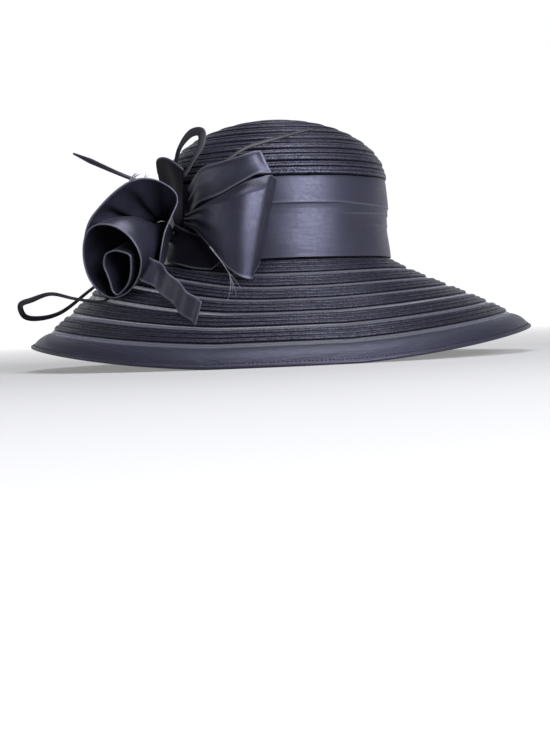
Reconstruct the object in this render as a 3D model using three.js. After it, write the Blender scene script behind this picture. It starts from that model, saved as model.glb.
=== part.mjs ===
// A woman's wide-brim dress hat in black satin braid, resting on the front and back of its wired rim.
// Millimetres. +Z is up, the front of the hat faces -Y, and the origin is on the surface under its middle.
// "around" is an angle in degrees about the crown, from the front towards +X. "off" is a distance outwards.
import * as THREE from 'three';
import { mergeVertices } from 'three/addons/utils/BufferGeometryUtils.js';

// Crown
const CROWN_SIDES = 40;
const LENGTH_RATIO = 1.103;
const WALL_FOOT_HALF_WIDTH = 87.6;
const WALL_TOP_HALF_WIDTH = 85.6;
const WALL_FOOT_HEIGHT = 74.6;
const WALL_TOP_HEIGHT = 137.3;
const CROWN_WALL = 1.7;
const DOME_HALF_WIDTH = 87.9;
const DOME_FOOT_HEIGHT = 138.4;
const DOME_RISE = 50.2;
const DOME_ROWS = 10;
const ROW_RELIEF = 0.4;
const ROW_CREST = 0.4;
const INNER_DOME_STEPS = 5;

// Brim
const BRIM_SIDES = 48;
const JOIN_HALF_WIDTH = 88.3;
const JOIN_HALF_LENGTH = 97.4;
const JOIN_HEIGHT = 75.5;
const RIM_HALF_WIDTH = 196;
const RIM_HALF_LENGTH = 202.5;
const SIDE_LIFT = 18.6;
const FLAT_ARC = 15.5;
const FULLNESS = 0.11;
const OUTER_FULLNESS = -0.26;
const LEFT_FULLNESS = 0.9;
const LEFT_INNER_FULLNESS = 1.25;
const BRAID_ROWS = 6;
const FIRST_SHEER_AT = 0.137;
const ROW_PITCH = 0.142;
const SHEER_SHARE = 0.03;
const SEAM_GAP = 0.0028;
const BRAID_THICKNESS = 1.6;
const BRAID_CREST = 0.7;
const SHEER_THICKNESS = 1;
const RIM_HALF_THICKNESS = 1.2;
const RIM_FOOT_WIDTH = 0.02;

// Satin pieces
const SATIN = 1.2;
const SEAT = 0.35;
const BAND_OUTSIDE = 3.1;

// Hat band: outline from the foot up, height on the crown wall and how far it stands off the wall
const BAND_OUTLINE = [
  { height: 78.4, off: 2.5 },
  { height: 80.5, off: BAND_OUTSIDE },
  { height: 101.5, off: 1.9 },
  { height: 103.0, off: 3.0 },
  { height: 115.3, off: 2.0 },
  { height: 117.0, off: BAND_OUTSIDE },
  { height: 132.0, off: 2.9 },
  { height: 136.6, off: 1.9 },
];

// Rose: rolled satin round an axis that looks forwards, down and to the viewer's left
const ROSE_CENTRE = new THREE.Vector3(-104, -76, 92);
const ROSE_AXIS = new THREE.Vector3(-0.45, -0.83, -0.32).normalize();
const ROSE_STEM = 38.7;

// Rolled pieces, each from a narrow foot on the band out to its rim. Across and along count the facets.
// Rim rows: turn about the axis, distance from it, and reach along it from the centre
const OUTER_PETAL = {
  across: 24,
  along: 6,
  footRadius: 7.9,
  flare: 1.25,
  closed: false,
  rim: [
    { turn: 186.4, radius: 29.8, reach: 28 },
    { turn: 152, radius: 31.5, reach: 26 },
    { turn: 129, radius: 35.6, reach: 22 },
    { turn: 114, radius: 38.7, reach: 16 },
    { turn: 95, radius: 44.8, reach: 8 },
    { turn: 82.7, radius: 49.9, reach: 0 },
    { turn: 74.8, radius: 50.9, reach: -7 },
    { turn: 63, radius: 49.8, reach: -13 },
    { turn: 47, radius: 46.8, reach: -16 },
    { turn: 40.4, radius: 43, reach: -15 },
    { turn: 33.4, radius: 36.9, reach: -8 },
    { turn: 19.6, radius: 30.1, reach: 4 },
    { turn: -4.7, radius: 26.6, reach: 12 },
    { turn: -34, radius: 25.6, reach: 13 },
    { turn: -62, radius: 23, reach: 9 },
    { turn: -92, radius: 21.2, reach: -1 },
    { turn: -122, radius: 21.7, reach: -2 },
    { turn: -150, radius: 24.2, reach: 6 },
  ],
};
const MIDDLE_COIL = {
  across: 20,
  along: 5,
  footRadius: 6.2,
  flare: 0,
  closed: true,
  rim: [
    { turn: 2.3, radius: 23.9, reach: 36 },
    { turn: 36.5, radius: 25, reach: 36 },
    { turn: 73.6, radius: 26.8, reach: 36 },
    { turn: 106.6, radius: 28.7, reach: 36 },
    { turn: 133.2, radius: 27.8, reach: 36 },
    { turn: 174.4, radius: 25.7, reach: 36 },
    { turn: 213.3, radius: 28.2, reach: 36 },
    { turn: 247.3, radius: 30, reach: 36 },
    { turn: 275, radius: 26.4, reach: 36 },
    { turn: 303.4, radius: 23.3, reach: 36 },
    { turn: 332, radius: 22.6, reach: 36 },
  ],
};
const INNER_COIL = {
  across: 14,
  along: 5,
  footRadius: 4.4,
  flare: 0,
  closed: true,
  rim: [
    { turn: 12, radius: 16.1, reach: 37 },
    { turn: 51, radius: 9.7, reach: 37 },
    { turn: 88.5, radius: 7.3, reach: 37 },
    { turn: 132, radius: 7.1, reach: 37 },
    { turn: 176, radius: 7.7, reach: 37 },
    { turn: 204, radius: 9.4, reach: 37 },
    { turn: 228, radius: 11.5, reach: 37 },
    { turn: 247, radius: 17, reach: 37 },
    { turn: 255, radius: 23.4, reach: 37 },
    { turn: 263, radius: 26, reach: 37 },
    { turn: 280, radius: 22.5, reach: 37 },
    { turn: 298, radius: 19.4, reach: 37 },
    { turn: 321, radius: 16.6, reach: 37 },
    { turn: 350.6, radius: 15.4, reach: 37 },
  ],
};

// Bow and ribbons, bowed outwards in the middle. Across and along count the facets.
// Rows: one for each section of the ribbon, from its high long edge to its low one, on the crown
const BOW_RIBBON = {
  across: 9,
  along: 3,
  bow: 1,
  rows: [
    { highAround: -46, high: 134, highOff: 1.3, lowAround: -44.5, low: 115, lowOff: 1.3 },
    { highAround: -32, high: 146.2, highOff: 11, lowAround: -35, low: 121.5, lowOff: 9 },
    { highAround: -20, high: 148.9, highOff: 18, lowAround: -22.5, low: 125.6, lowOff: 16.5 },
    { highAround: -11.8, high: 152, highOff: 20, lowAround: -13, low: 133.3, lowOff: 19 },
    { highAround: -7.5, high: 154.4, highOff: 18, lowAround: -6.2, low: 138.9, lowOff: 18 },
    { highAround: -5.2, high: 155.1, highOff: 14.5, lowAround: -1.5, low: 139.1, lowOff: 15 },
  ],
};
const BOW_LOOP = {
  across: 18,
  along: 4,
  bow: 2,
  rows: [
    { highAround: -48, high: 114.4, highOff: 1.6, lowAround: -48.8, low: 108, lowOff: 1.6 },
    { highAround: -36, high: 115.5, highOff: 10, lowAround: -36.2, low: 100.6, lowOff: 10 },
    { highAround: -26.8, high: 118, highOff: 17, lowAround: -27.5, low: 89.6, lowOff: 18 },
    { highAround: -20, high: 121, highOff: 21.5, lowAround: -21.5, low: 78.2, lowOff: 22.5 },
    { highAround: -15.5, high: 124.2, highOff: 22.5, lowAround: -17.5, low: 70.4, lowOff: 24 },
    { highAround: -11.2, high: 127.4, highOff: 20.5, lowAround: -14.5, low: 65.8, lowOff: 23.5 },
    { highAround: -6.8, high: 131.4, highOff: 17, lowAround: -12.2, low: 63.4, lowOff: 22 },
    { highAround: -2, high: 136.6, highOff: 13, lowAround: -10.2, low: 62.9, lowOff: 19.5 },
    { highAround: 0.2, high: 136.8, highOff: 8, lowAround: -9.2, low: 67.2, lowOff: 13 },
    { highAround: 1.3, high: 134.4, highOff: 3, lowAround: -7.8, low: 76, lowOff: 4 },
    { highAround: -2, high: 127.7, highOff: 1.1, lowAround: -9.8, low: 86.5, lowOff: 1.1 },
  ],
};
const LOWER_LOOP = {
  across: 8,
  along: 4,
  bow: 2,
  rows: [
    { highAround: -56, high: 103, highOff: 1.2, lowAround: -66, low: 92, lowOff: 1.5 },
    { highAround: -50, high: 101.5, highOff: 1.8, lowAround: -62, low: 84.5, lowOff: 5 },
    { highAround: -42, high: 99.5, highOff: 3.5, lowAround: -55, low: 79.5, lowOff: 10 },
    { highAround: -34, high: 95.5, highOff: 6, lowAround: -46, low: 76.8, lowOff: 12.5 },
    { highAround: -27, high: 88, highOff: 8, lowAround: -36.5, low: 73, lowOff: 13.5 },
    { highAround: -22, high: 79.5, highOff: 8.5, lowAround: -28, low: 71.2, lowOff: 12.5 },
  ],
};
const BACK_PETAL = {
  across: 7,
  along: 4,
  bow: 1,
  rows: [
    { highAround: -69.7, high: 149.8, highOff: 6.6, lowAround: -71, low: 128, lowOff: 1.1 },
    { highAround: -66, high: 157.5, highOff: 9, lowAround: -66, low: 122, lowOff: 1.1 },
    { highAround: -59, high: 159, highOff: 9.5, lowAround: -60, low: 118, lowOff: 1.1 },
    { highAround: -51.5, high: 155.5, highOff: 9, lowAround: -54.5, low: 117, lowOff: 1.1 },
    { highAround: -45.5, high: 148, highOff: 6.5, lowAround: -51, low: 119, lowOff: 1.1 },
  ],
};

// Ribbon end below the rose: a row for each section from the rose to its cut end
const TAB = [
  { x: -96.9, y: -109.2, z: 73.6, lean: -0.3 },
  { x: -87.5, y: -119, z: 67.5, lean: -0.15 },
  { x: -76.5, y: -136, z: 56.5, lean: 0 },
  { x: -66.5, y: -150, z: 46.2, lean: 0 },
  { x: -57.5, y: -161, z: 38.6, lean: 0 },
];
const TAB_WIDTH = 17;
const TAB_ACROSS = 2;
const TAB_ALONG = 8;

// Stripped quills: the line of the shaft and its width
const QUILL_THICKNESS = 1.1;
const QUILL_STEPS_PER_ROW = 3;
const QUILLS = {
  quill_tip_left: [
    { x: -81.2, y: -54.9, z: 130, width: 2.2 },
    { x: -100, y: -60, z: 140, width: 2.4 },
    { x: -119, y: -64, z: 148.5, width: 2.6 },
    { x: -138, y: -62, z: 158, width: 3.6 },
    { x: -151, y: -60, z: 164.5, width: 1.1 },
  ],
  quill_tip_right: [
    { x: -38.5, y: -104.5, z: 147, width: 2.4 },
    { x: -22, y: -101, z: 158, width: 2.4 },
    { x: 1, y: -95, z: 165, width: 2.3 },
    { x: 17, y: -92, z: 169, width: 2 },
    { x: 29, y: -90, z: 171.7, width: 1.1 },
  ],
  quill_loop_upper: [
    { x: -72.1, y: -63.5, z: 140, width: 2.2 },
    { x: -73.5, y: -64, z: 154, width: 2.4 },
    { x: -69, y: -70, z: 166, width: 3 },
    { x: -60, y: -72, z: 175, width: 4.4 },
    { x: -53.5, y: -73, z: 175, width: 4.8 },
    { x: -53.5, y: -74, z: 166, width: 3.6 },
    { x: -60, y: -75, z: 154, width: 2.6 },
    { x: -67, y: -75, z: 143, width: 2.4 },
  ],
  quill_loop_side: [
    { x: -121.5, y: -80.5, z: 58.9, width: 1.8 },
    { x: -131, y: -86, z: 51.5, width: 1.8 },
    { x: -152, y: -80, z: 54.3, width: 1.8 },
    { x: -172, y: -70, z: 59, width: 2.4 },
    { x: -187, y: -62, z: 55.5, width: 3.6 },
    { x: -197.6, y: -52, z: 52, width: 4 },
    { x: -197, y: -42, z: 44, width: 4 },
    { x: -188, y: -20, z: 41.5, width: 3.4 },
    { x: -173, y: 0, z: 46, width: 2.6 },
    { x: -150, y: -6, z: 61.5, width: 2 },
    { x: -122, y: -24, z: 80, width: 1.8 },
    { x: -97, y: -42, z: 97, width: 1.8 },
  ],
};

const UP = new THREE.Vector3(0, 0, 1);
const TOWARDS_VIEWER = new THREE.Vector3(0, -1, 0);

// Materials
const braid = new THREE.MeshStandardMaterial({ name: 'braid', color: 0x1a1b22, roughness: 0.55, metalness: 0 });
const sheer = new THREE.MeshStandardMaterial({
  name: 'sheer', color: 0x5c5e6e, roughness: 0.6, metalness: 0, transparent: true, opacity: 0.4,
});
const satin = new THREE.MeshStandardMaterial({ name: 'satin', color: 0x20212b, roughness: 0.3, metalness: 0 });
const quill = new THREE.MeshStandardMaterial({ name: 'quill', color: 0x17181d, roughness: 0.5, metalness: 0 });

// A closed mesh from its corners and triangles, turned so that its faces point outwards
function closedGeometry(corners, triangles) {
  let volume = 0;
  for (const [a, b, c] of triangles) {
    volume += corners[a].dot(new THREE.Vector3().crossVectors(corners[b], corners[c]));
  }
  const index = [];
  for (const [a, b, c] of triangles) {
    if (volume > 0) index.push(a, b, c);
    else index.push(a, c, b);
  }
  const geometry = new THREE.BufferGeometry().setFromPoints(corners);
  geometry.setIndex(index);
  geometry.computeVertexNormals();
  return geometry;
}

// The two triangles of a four-cornered face
function quad(a, b, c, d) {
  return [[a, b, c], [a, c, d]];
}

// A closed section carried once round the hat. corner(i, angle) gives corner i of the section
function ringGeometry(sectionCount, sides, corner) {
  const corners = [];
  const triangles = [];
  for (let side = 0; side < sides; side += 1) {
    const angle = (side / sides) * 2 * Math.PI;
    for (let i = 0; i < sectionCount; i += 1) corners.push(corner(i, angle));
  }
  for (let side = 0; side < sides; side += 1) {
    const here = side * sectionCount;
    const there = ((side + 1) % sides) * sectionCount;
    for (let i = 0; i < sectionCount; i += 1) {
      const next = (i + 1) % sectionCount;
      triangles.push(...quad(here + i, here + next, there + next, there + i));
    }
  }
  return closedGeometry(corners, triangles);
}

// A sheet with two faces, thickness apart, from a grid of points. A closed sheet joins up across
function sheetGeometry({ point, across, along, closed, thickness }) {
  const columns = closed ? across : across + 1;
  const rows = along + 1;
  const grid = [];
  for (let i = 0; i < columns; i += 1) {
    grid.push([]);
    for (let j = 0; j < rows; j += 1) grid[i].push(point(i / across, j / along));
  }
  const left = (i) => (closed ? (i + columns - 1) % columns : Math.max(i - 1, 0));
  const right = (i) => (closed ? (i + 1) % columns : Math.min(i + 1, columns - 1));
  const corners = [];
  for (const side of [0.5, -0.5]) {
    for (let i = 0; i < columns; i += 1) {
      for (let j = 0; j < rows; j += 1) {
        const sideways = grid[right(i)][j].clone().sub(grid[left(i)][j]);
        const onwards = grid[i][Math.min(j + 1, rows - 1)].clone().sub(grid[i][Math.max(j - 1, 0)]);
        const normal = sideways.cross(onwards).normalize();
        corners.push(grid[i][j].clone().addScaledVector(normal, side * thickness));
      }
    }
  }
  const face = columns * rows;
  const at = (i, j) => (i % columns) * rows + j;
  const triangles = [];
  for (let i = 0; i < across; i += 1) {
    for (let j = 0; j < along; j += 1) {
      const [a, b, c, d] = [at(i, j), at(i + 1, j), at(i + 1, j + 1), at(i, j + 1)];
      triangles.push(...quad(a, b, c, d));
      triangles.push(...quad(face + d, face + c, face + b, face + a));
    }
    triangles.push(...quad(at(i + 1, 0), at(i, 0), face + at(i, 0), face + at(i + 1, 0)));
    triangles.push(...quad(at(i, along), at(i + 1, along), face + at(i + 1, along), face + at(i, along)));
  }
  if (!closed) {
    for (let j = 0; j < along; j += 1) {
      triangles.push(...quad(at(0, j), at(0, j + 1), face + at(0, j + 1), face + at(0, j)));
      const [low, high] = [at(across, j), at(across, j + 1)];
      triangles.push(...quad(high, low, face + low, face + high));
    }
  }
  return closedGeometry(corners, triangles);
}

// A point on the crown's outer wall, off millimetres outside it
function wallPoint(around, height, off) {
  const share = (height - WALL_FOOT_HEIGHT) / (WALL_TOP_HEIGHT - WALL_FOOT_HEIGHT);
  const halfWidth = THREE.MathUtils.lerp(WALL_FOOT_HALF_WIDTH, WALL_TOP_HALF_WIDTH, share);
  const halfLength = halfWidth * LENGTH_RATIO;
  const outwards = new THREE.Vector3(Math.sin(around) / halfWidth, -Math.cos(around) / halfLength, 0);
  const onWall = new THREE.Vector3(halfWidth * Math.sin(around), -halfLength * Math.cos(around), height);
  return onWall.addScaledVector(outwards.normalize(), off);
}

// A point off millimetres outside the hat band, at an angle in degrees
function bandPoint(around, height, off) {
  const onBand = THREE.MathUtils.clamp(height, WALL_FOOT_HEIGHT, WALL_TOP_HEIGHT);
  const point = wallPoint(THREE.MathUtils.degToRad(around), onBand, BAND_OUTSIDE + off);
  point.z = height;
  return point;
}

// Height of the rim's lowest face: flat on the surface at the front and back, lifted at the sides
function rimHeight(angle) {
  const flat = Math.sin(THREE.MathUtils.degToRad(FLAT_ARC)) ** 2;
  return (SIDE_LIFT * Math.max(0, Math.sin(angle) ** 2 - flat)) / (1 - flat);
}

// A point on the middle of the brim's thickness. share runs from 0 at the crown to 1 at the rim
function brimMiddle(share, angle) {
  const halfWidth = THREE.MathUtils.lerp(JOIN_HALF_WIDTH, RIM_HALF_WIDTH, share);
  const halfLength = THREE.MathUtils.lerp(JOIN_HALF_LENGTH, RIM_HALF_LENGTH, share);
  const left = Math.max(0, -Math.sin(angle)) ** 2;
  const arch = share * (1 - share);
  const fullness = FULLNESS + LEFT_FULLNESS * left;
  const innerFullness = OUTER_FULLNESS + LEFT_INNER_FULLNESS * left;
  const fall = 1 - share + arch * (fullness + innerFullness * (1 - 2 * share));
  const rim = rimHeight(angle);
  const height = rim + RIM_HALF_THICKNESS * share + (JOIN_HEIGHT - rim) * fall;
  return new THREE.Vector3(halfWidth * Math.sin(angle), -halfLength * Math.cos(angle), height);
}

// A point off millimetres above the middle of the brim, square to it
function brimPoint(share, angle, off) {
  const step = 0.001;
  const along = brimMiddle(share + step, angle).sub(brimMiddle(share - step, angle));
  const round = brimMiddle(share, angle + step).sub(brimMiddle(share, angle - step));
  const normal = round.cross(along).normalize();
  if (normal.z < 0) normal.negate();
  return brimMiddle(share, angle).addScaledVector(normal, off);
}

function crownGeometry() {
  const profile = [];
  const outside = new THREE.EllipseCurve(0, DOME_FOOT_HEIGHT, DOME_HALF_WIDTH, DOME_RISE, 0, Math.PI / 2);
  const addRow = (share, relief) => {
    const point = outside.getPointAt(share);
    const tangent = outside.getTangentAt(share);
    profile.push(new THREE.Vector2(point.x + tangent.y * relief, point.y - tangent.x * relief));
  };
  profile.push(new THREE.Vector2(0, DOME_FOOT_HEIGHT + DOME_RISE));
  for (let row = DOME_ROWS - 1; row >= 0; row -= 1) {
    addRow((row + ROW_CREST) / DOME_ROWS, ROW_RELIEF);
    if (row > 0) addRow(row / DOME_ROWS, -ROW_RELIEF);
  }
  profile.push(new THREE.Vector2(DOME_HALF_WIDTH, DOME_FOOT_HEIGHT));
  profile.push(new THREE.Vector2(WALL_TOP_HALF_WIDTH, WALL_TOP_HEIGHT));
  profile.push(new THREE.Vector2(WALL_FOOT_HALF_WIDTH, WALL_FOOT_HEIGHT));
  profile.push(new THREE.Vector2(WALL_FOOT_HALF_WIDTH - CROWN_WALL, WALL_FOOT_HEIGHT));
  profile.push(new THREE.Vector2(WALL_TOP_HALF_WIDTH - CROWN_WALL, WALL_TOP_HEIGHT));
  const inside = new THREE.EllipseCurve(
    0, DOME_FOOT_HEIGHT, DOME_HALF_WIDTH - 2 * CROWN_WALL, DOME_RISE - CROWN_WALL, 0, Math.PI / 2,
  );
  for (let step = 1; step < INNER_DOME_STEPS; step += 1) {
    profile.push(inside.getPointAt(step / INNER_DOME_STEPS));
  }
  profile.push(new THREE.Vector2(0, DOME_FOOT_HEIGHT + DOME_RISE - CROWN_WALL));
  return latheGeometry(profile);
}

// A profile from the axis back to the axis, turned once, longer front to back than it is wide
function latheGeometry(profile) {
  const lathe = new THREE.LatheGeometry(profile, CROWN_SIDES);
  lathe.deleteAttribute('normal');
  lathe.deleteAttribute('uv');
  lathe.rotateX(Math.PI / 2);
  lathe.scale(1, LENGTH_RATIO, 1);
  const merged = mergeVertices(lathe, 0.001);
  const corners = [];
  const place = merged.getAttribute('position');
  for (let i = 0; i < place.count; i += 1) corners.push(new THREE.Vector3().fromBufferAttribute(place, i));
  const triangles = [];
  for (let i = 0; i < merged.index.count; i += 3) {
    const [a, b, c] = [merged.index.getX(i), merged.index.getX(i + 1), merged.index.getX(i + 2)];
    if (a !== b && b !== c && c !== a) triangles.push([a, b, c]);
  }
  return closedGeometry(corners, triangles);
}

function hatBandGeometry() {
  const foot = BAND_OUTLINE[0];
  const top = BAND_OUTLINE[BAND_OUTLINE.length - 1];
  const section = [{ height: foot.height, off: SEAT }, ...BAND_OUTLINE, { height: top.height, off: SEAT }];
  return ringGeometry(section.length, CROWN_SIDES, (i, angle) => (
    wallPoint(angle, section[i].height, section[i].off)
  ));
}

// One ring of the brim from the corners of its section
function brimRingGeometry(section) {
  return ringGeometry(section.length, BRIM_SIDES, (i, angle) => {
    const { share, off, level } = section[i];
    if (level) return brimMiddle(share, angle).setZ(rimHeight(angle));
    return brimPoint(share, angle, off);
  });
}

// One opaque ring, crowned along its middle
function braidGeometry(start, end) {
  const half = BRAID_THICKNESS / 2;
  return brimRingGeometry([
    { share: start, off: -half },
    { share: end, off: -half },
    { share: end, off: half },
    { share: (start + end) / 2, off: half + BRAID_CREST },
    { share: start, off: half },
  ]);
}

function sheerGeometry(start, end) {
  const half = SHEER_THICKNESS / 2;
  return brimRingGeometry([
    { share: start, off: -half },
    { share: end, off: -half },
    { share: end, off: half },
    { share: start, off: half },
  ]);
}

// The wide binding, with a narrow level face under the rim
function edgeGeometry(start) {
  const half = BRAID_THICKNESS / 2;
  return brimRingGeometry([
    { share: start, off: -half },
    { share: 1 - RIM_FOOT_WIDTH, level: true },
    { share: 1, level: true },
    { share: 1, off: RIM_HALF_THICKNESS },
    { share: (start + 1) / 2, off: half + BRAID_CREST },
    { share: start, off: half },
  ]);
}

// A rolled piece of the rose, from its pinched foot on the band to its open rim
function rolledGeometry({ across, along, footRadius, flare, closed, rim }) {
  const rimCurve = new THREE.CatmullRomCurve3(rim.map(({ turn, radius, reach }) => {
    const angle = THREE.MathUtils.degToRad(turn);
    return new THREE.Vector3(radius * Math.cos(angle), radius * Math.sin(angle), reach);
  }), closed);
  const sideways = new THREE.Vector3(-ROSE_AXIS.y, ROSE_AXIS.x, 0).normalize();
  const upwards = new THREE.Vector3().crossVectors(ROSE_AXIS, sideways);
  const point = (i, j) => {
    const edge = rimCurve.getPoint(i);
    const angle = Math.atan2(edge.y, edge.x);
    const open = flare > 0 ? j ** flare : j * j * (3 - 2 * j);
    const radius = THREE.MathUtils.lerp(footRadius, Math.hypot(edge.x, edge.y), open);
    return ROSE_CENTRE.clone()
      .addScaledVector(sideways, radius * Math.cos(angle))
      .addScaledVector(upwards, radius * Math.sin(angle))
      .addScaledVector(ROSE_AXIS, THREE.MathUtils.lerp(-ROSE_STEM, edge.z, j));
  };
  return sheetGeometry({ point, across, along, closed, thickness: SATIN });
}

// A ribbon on the crown between the two edge lines of its table, bowed outwards in the middle
function ribbonGeometry({ across, along, bow, rows }) {
  const high = new THREE.CatmullRomCurve3(rows.map((row) => bandPoint(row.highAround, row.high, row.highOff)));
  const low = new THREE.CatmullRomCurve3(rows.map((row) => bandPoint(row.lowAround, row.low, row.lowOff)));
  const point = (i, j) => {
    const start = high.getPoint(i);
    const end = low.getPoint(i);
    const middle = start.clone().lerp(end, j);
    const outwards = new THREE.Vector3(middle.x, middle.y, 0).normalize();
    return middle.addScaledVector(outwards, bow * Math.sin(j * Math.PI) * Math.sin(i * Math.PI));
  };
  return sheetGeometry({ point, across, along, closed: false, thickness: SATIN });
}

function tabGeometry() {
  const middle = new THREE.CatmullRomCurve3(TAB.map(({ x, y, z }) => new THREE.Vector3(x, y, z)));
  const lean = new THREE.CatmullRomCurve3(TAB.map((row) => new THREE.Vector3(row.lean, 0, 0)));
  const point = (i, j) => {
    const tangent = middle.getTangent(i);
    const across = new THREE.Vector3().crossVectors(tangent, UP).normalize();
    const widthwise = new THREE.Vector3().crossVectors(across, tangent).normalize();
    widthwise.addScaledVector(across, lean.getPoint(i).x).normalize();
    return middle.getPoint(i).addScaledVector(widthwise, (0.5 - j) * TAB_WIDTH);
  };
  return sheetGeometry({ point, across: TAB_ALONG, along: TAB_ACROSS, closed: false, thickness: SATIN });
}

// A flat strip along a curve, as wide as its table says
function quillGeometry(rows, steps) {
  const line = new THREE.CatmullRomCurve3(rows.map(({ x, y, z }) => new THREE.Vector3(x, y, z)));
  const widths = new THREE.CatmullRomCurve3(rows.map(({ width }, i) => new THREE.Vector3(width, i, 0)));
  const point = (i, j) => {
    const tangent = line.getTangent(j);
    const widthwise = new THREE.Vector3().crossVectors(tangent, TOWARDS_VIEWER).normalize();
    return line.getPoint(j).addScaledVector(widthwise, (i - 0.5) * widths.getPoint(j).x);
  };
  return sheetGeometry({ point, across: 1, along: steps, closed: false, thickness: QUILL_THICKNESS });
}

const hat = new THREE.Group();
hat.name = 'sun_hat';

function addPiece(name, geometry, material) {
  const mesh = new THREE.Mesh(geometry, material);
  mesh.name = name;
  hat.add(mesh);
}

addPiece('crown', crownGeometry(), braid);
addPiece('hat_band', hatBandGeometry(), satin);

let start = SEAM_GAP;
for (let row = 1; row <= BRAID_ROWS; row += 1) {
  const sheerMiddle = FIRST_SHEER_AT + (row - 1) * ROW_PITCH;
  const sheerStart = sheerMiddle - SHEER_SHARE / 2;
  const sheerEnd = sheerMiddle + SHEER_SHARE / 2;
  addPiece(`brim_braid_${row}`, braidGeometry(start, sheerStart - SEAM_GAP), braid);
  addPiece(`brim_sheer_${row}`, sheerGeometry(sheerStart, sheerEnd), sheer);
  start = sheerEnd + SEAM_GAP;
}
addPiece('brim_edge', edgeGeometry(start), satin);

addPiece('rose_petal_outer', rolledGeometry(OUTER_PETAL), satin);
addPiece('rose_coil_middle', rolledGeometry(MIDDLE_COIL), satin);
addPiece('rose_coil_inner', rolledGeometry(INNER_COIL), satin);
addPiece('petal_back', ribbonGeometry(BACK_PETAL), satin);
addPiece('bow_ribbon_upper', ribbonGeometry(BOW_RIBBON), satin);
addPiece('bow_loop_main', ribbonGeometry(BOW_LOOP), satin);
addPiece('bow_loop_lower', ribbonGeometry(LOWER_LOOP), satin);
addPiece('ribbon_tab', tabGeometry(), satin);
for (const [name, rows] of Object.entries(QUILLS)) {
  addPiece(name, quillGeometry(rows, QUILL_STEPS_PER_ROW * (rows.length - 1)), quill);
}

export default hat;
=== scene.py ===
import math

import bmesh
import bpy
import numpy as np
from mathutils import Matrix, Vector


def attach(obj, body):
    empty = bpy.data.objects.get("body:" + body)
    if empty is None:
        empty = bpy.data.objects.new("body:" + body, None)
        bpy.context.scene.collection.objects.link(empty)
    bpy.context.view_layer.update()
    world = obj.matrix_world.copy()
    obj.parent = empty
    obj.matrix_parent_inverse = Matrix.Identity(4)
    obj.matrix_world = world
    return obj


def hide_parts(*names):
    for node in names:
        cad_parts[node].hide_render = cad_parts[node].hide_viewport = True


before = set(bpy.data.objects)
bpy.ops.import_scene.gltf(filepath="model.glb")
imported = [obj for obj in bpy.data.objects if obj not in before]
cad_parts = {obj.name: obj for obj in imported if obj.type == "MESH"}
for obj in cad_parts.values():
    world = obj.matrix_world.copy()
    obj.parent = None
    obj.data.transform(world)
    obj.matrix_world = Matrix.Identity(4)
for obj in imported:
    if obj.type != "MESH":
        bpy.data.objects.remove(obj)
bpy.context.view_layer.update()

MM = 0.001

# Crown, as in the part
LENGTH_RATIO = 1.103
MEAN_RATIO = 1.05
WALL_FOOT_HALF_WIDTH = 87.6
WALL_TOP_HALF_WIDTH = 85.6
WALL_FOOT_HEIGHT = 74.6
WALL_TOP_HEIGHT = 137.3
CROWN_WALL = 1.7
DOME_HALF_WIDTH = 87.9
DOME_FOOT_HEIGHT = 138.4
DOME_RISE = 50.2
DOME_ROWS = 10
TIP_FADE = 3
INNER_DOME_ROWS = 40
INNER_RIDGE = 0.15
INNER_RIDGE_TURNS = 60
INNER_TAPES = 12
CROWN_SIDES = 200

# Brim, as in the part
JOIN_HALF_WIDTH = 88.3
JOIN_HALF_LENGTH = 97.4
JOIN_HEIGHT = 75.5
RIM_HALF_WIDTH = 196
RIM_HALF_LENGTH = 202.5
SIDE_LIFT = 18.6
FLAT_ARC = 15.5
FULLNESS = 0.11
OUTER_FULLNESS = -0.26
LEFT_FULLNESS = 0.9
LEFT_INNER_FULLNESS = 1.25
BRAID_ROWS = 6
FIRST_SHEER_AT = 0.137
ROW_PITCH = 0.142
SHEER_SHARE = 0.03
SEAM_GAP = 0.0028
RIM_HALF_THICKNESS = 1.2
BRIM_SIDES = 300
BRIM_DEPTH = 107

# Braid tapes
TAPES_IN_RING = 3
TAPE_GROOVE = 0.4
TAPE_WIDTH = 3.7
TAPE_CREST = 1.15
TAPE_UNDER_CREST = 0.5
PLAIT = 2.6
SHEER_TUCK = 3
SHEER_THICKNESS = 0.25
BINDING_CREST = 1.5
BEAD_AT = 0.9935
BEAD_RADIUS = 1.35
BEAD_TUCK = 0.012
BEAD_TURNS = (100, -95)
SEAM_STITCH_IN = 0.004
BINDING_STITCH_IN = 0.014
EDGE_STITCH_AT = 0.981

# A tape's outline: share across it and height as a share of its crest
TAPE_OUTLINE = [(0.06, 0.5), (0.16, 0.8), (0.34, 1), (0.6, 1), (0.8, 0.85), (0.93, 0.5), (1, 0)]

# The two tapes of a dome row: where each starts and ends in the row, and its points, each a share of the row
# from its lower lip up and a height off the ellipse
DOME_TAPES = [
    (0, 0.57, [
        (0, -0.5), (0.03, 0.3), (0.09, 0.62), (0.2, 0.8),
        (0.34, 0.7), (0.46, 0.4), (0.53, 0.05), (0.56, -0.25),
    ]),
    (0.57, 1, [
        (0.58, 0.15), (0.64, 0.38), (0.74, 0.36),
        (0.86, 0.05), (0.94, -0.3), (0.98, -0.5),
    ]),
]

# Satin pieces: a sheet's edges are rounded by rows at these turns, and a hem swells them and takes a painted
# highlight
SATIN = 0.6
EDGE_TURNS = (math.radians(40), math.radians(75))
HEM = 0.6
HEM_WIDTH = 1.3
HEM_HIGHLIGHT_GAIN = 1.4

# Hat band. Its slacks are waves round it: size, how many there are, and where they start
BAND_SIDES = 360
BAND_OUTSIDE = 3.1
BAND_SWELL = 0.75
BAND_SOFTNESS = 0.16
SEAT = 0.35
BAND_TOP = 137.3
BAND_TOP_SLACK = [(0.2, 5, 1.0), (0.12, 11, 0.4)]
BAND_FOOT = 77.7
BAND_FOOT_SLACK = [(0.15, 6, 1.0)]

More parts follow.
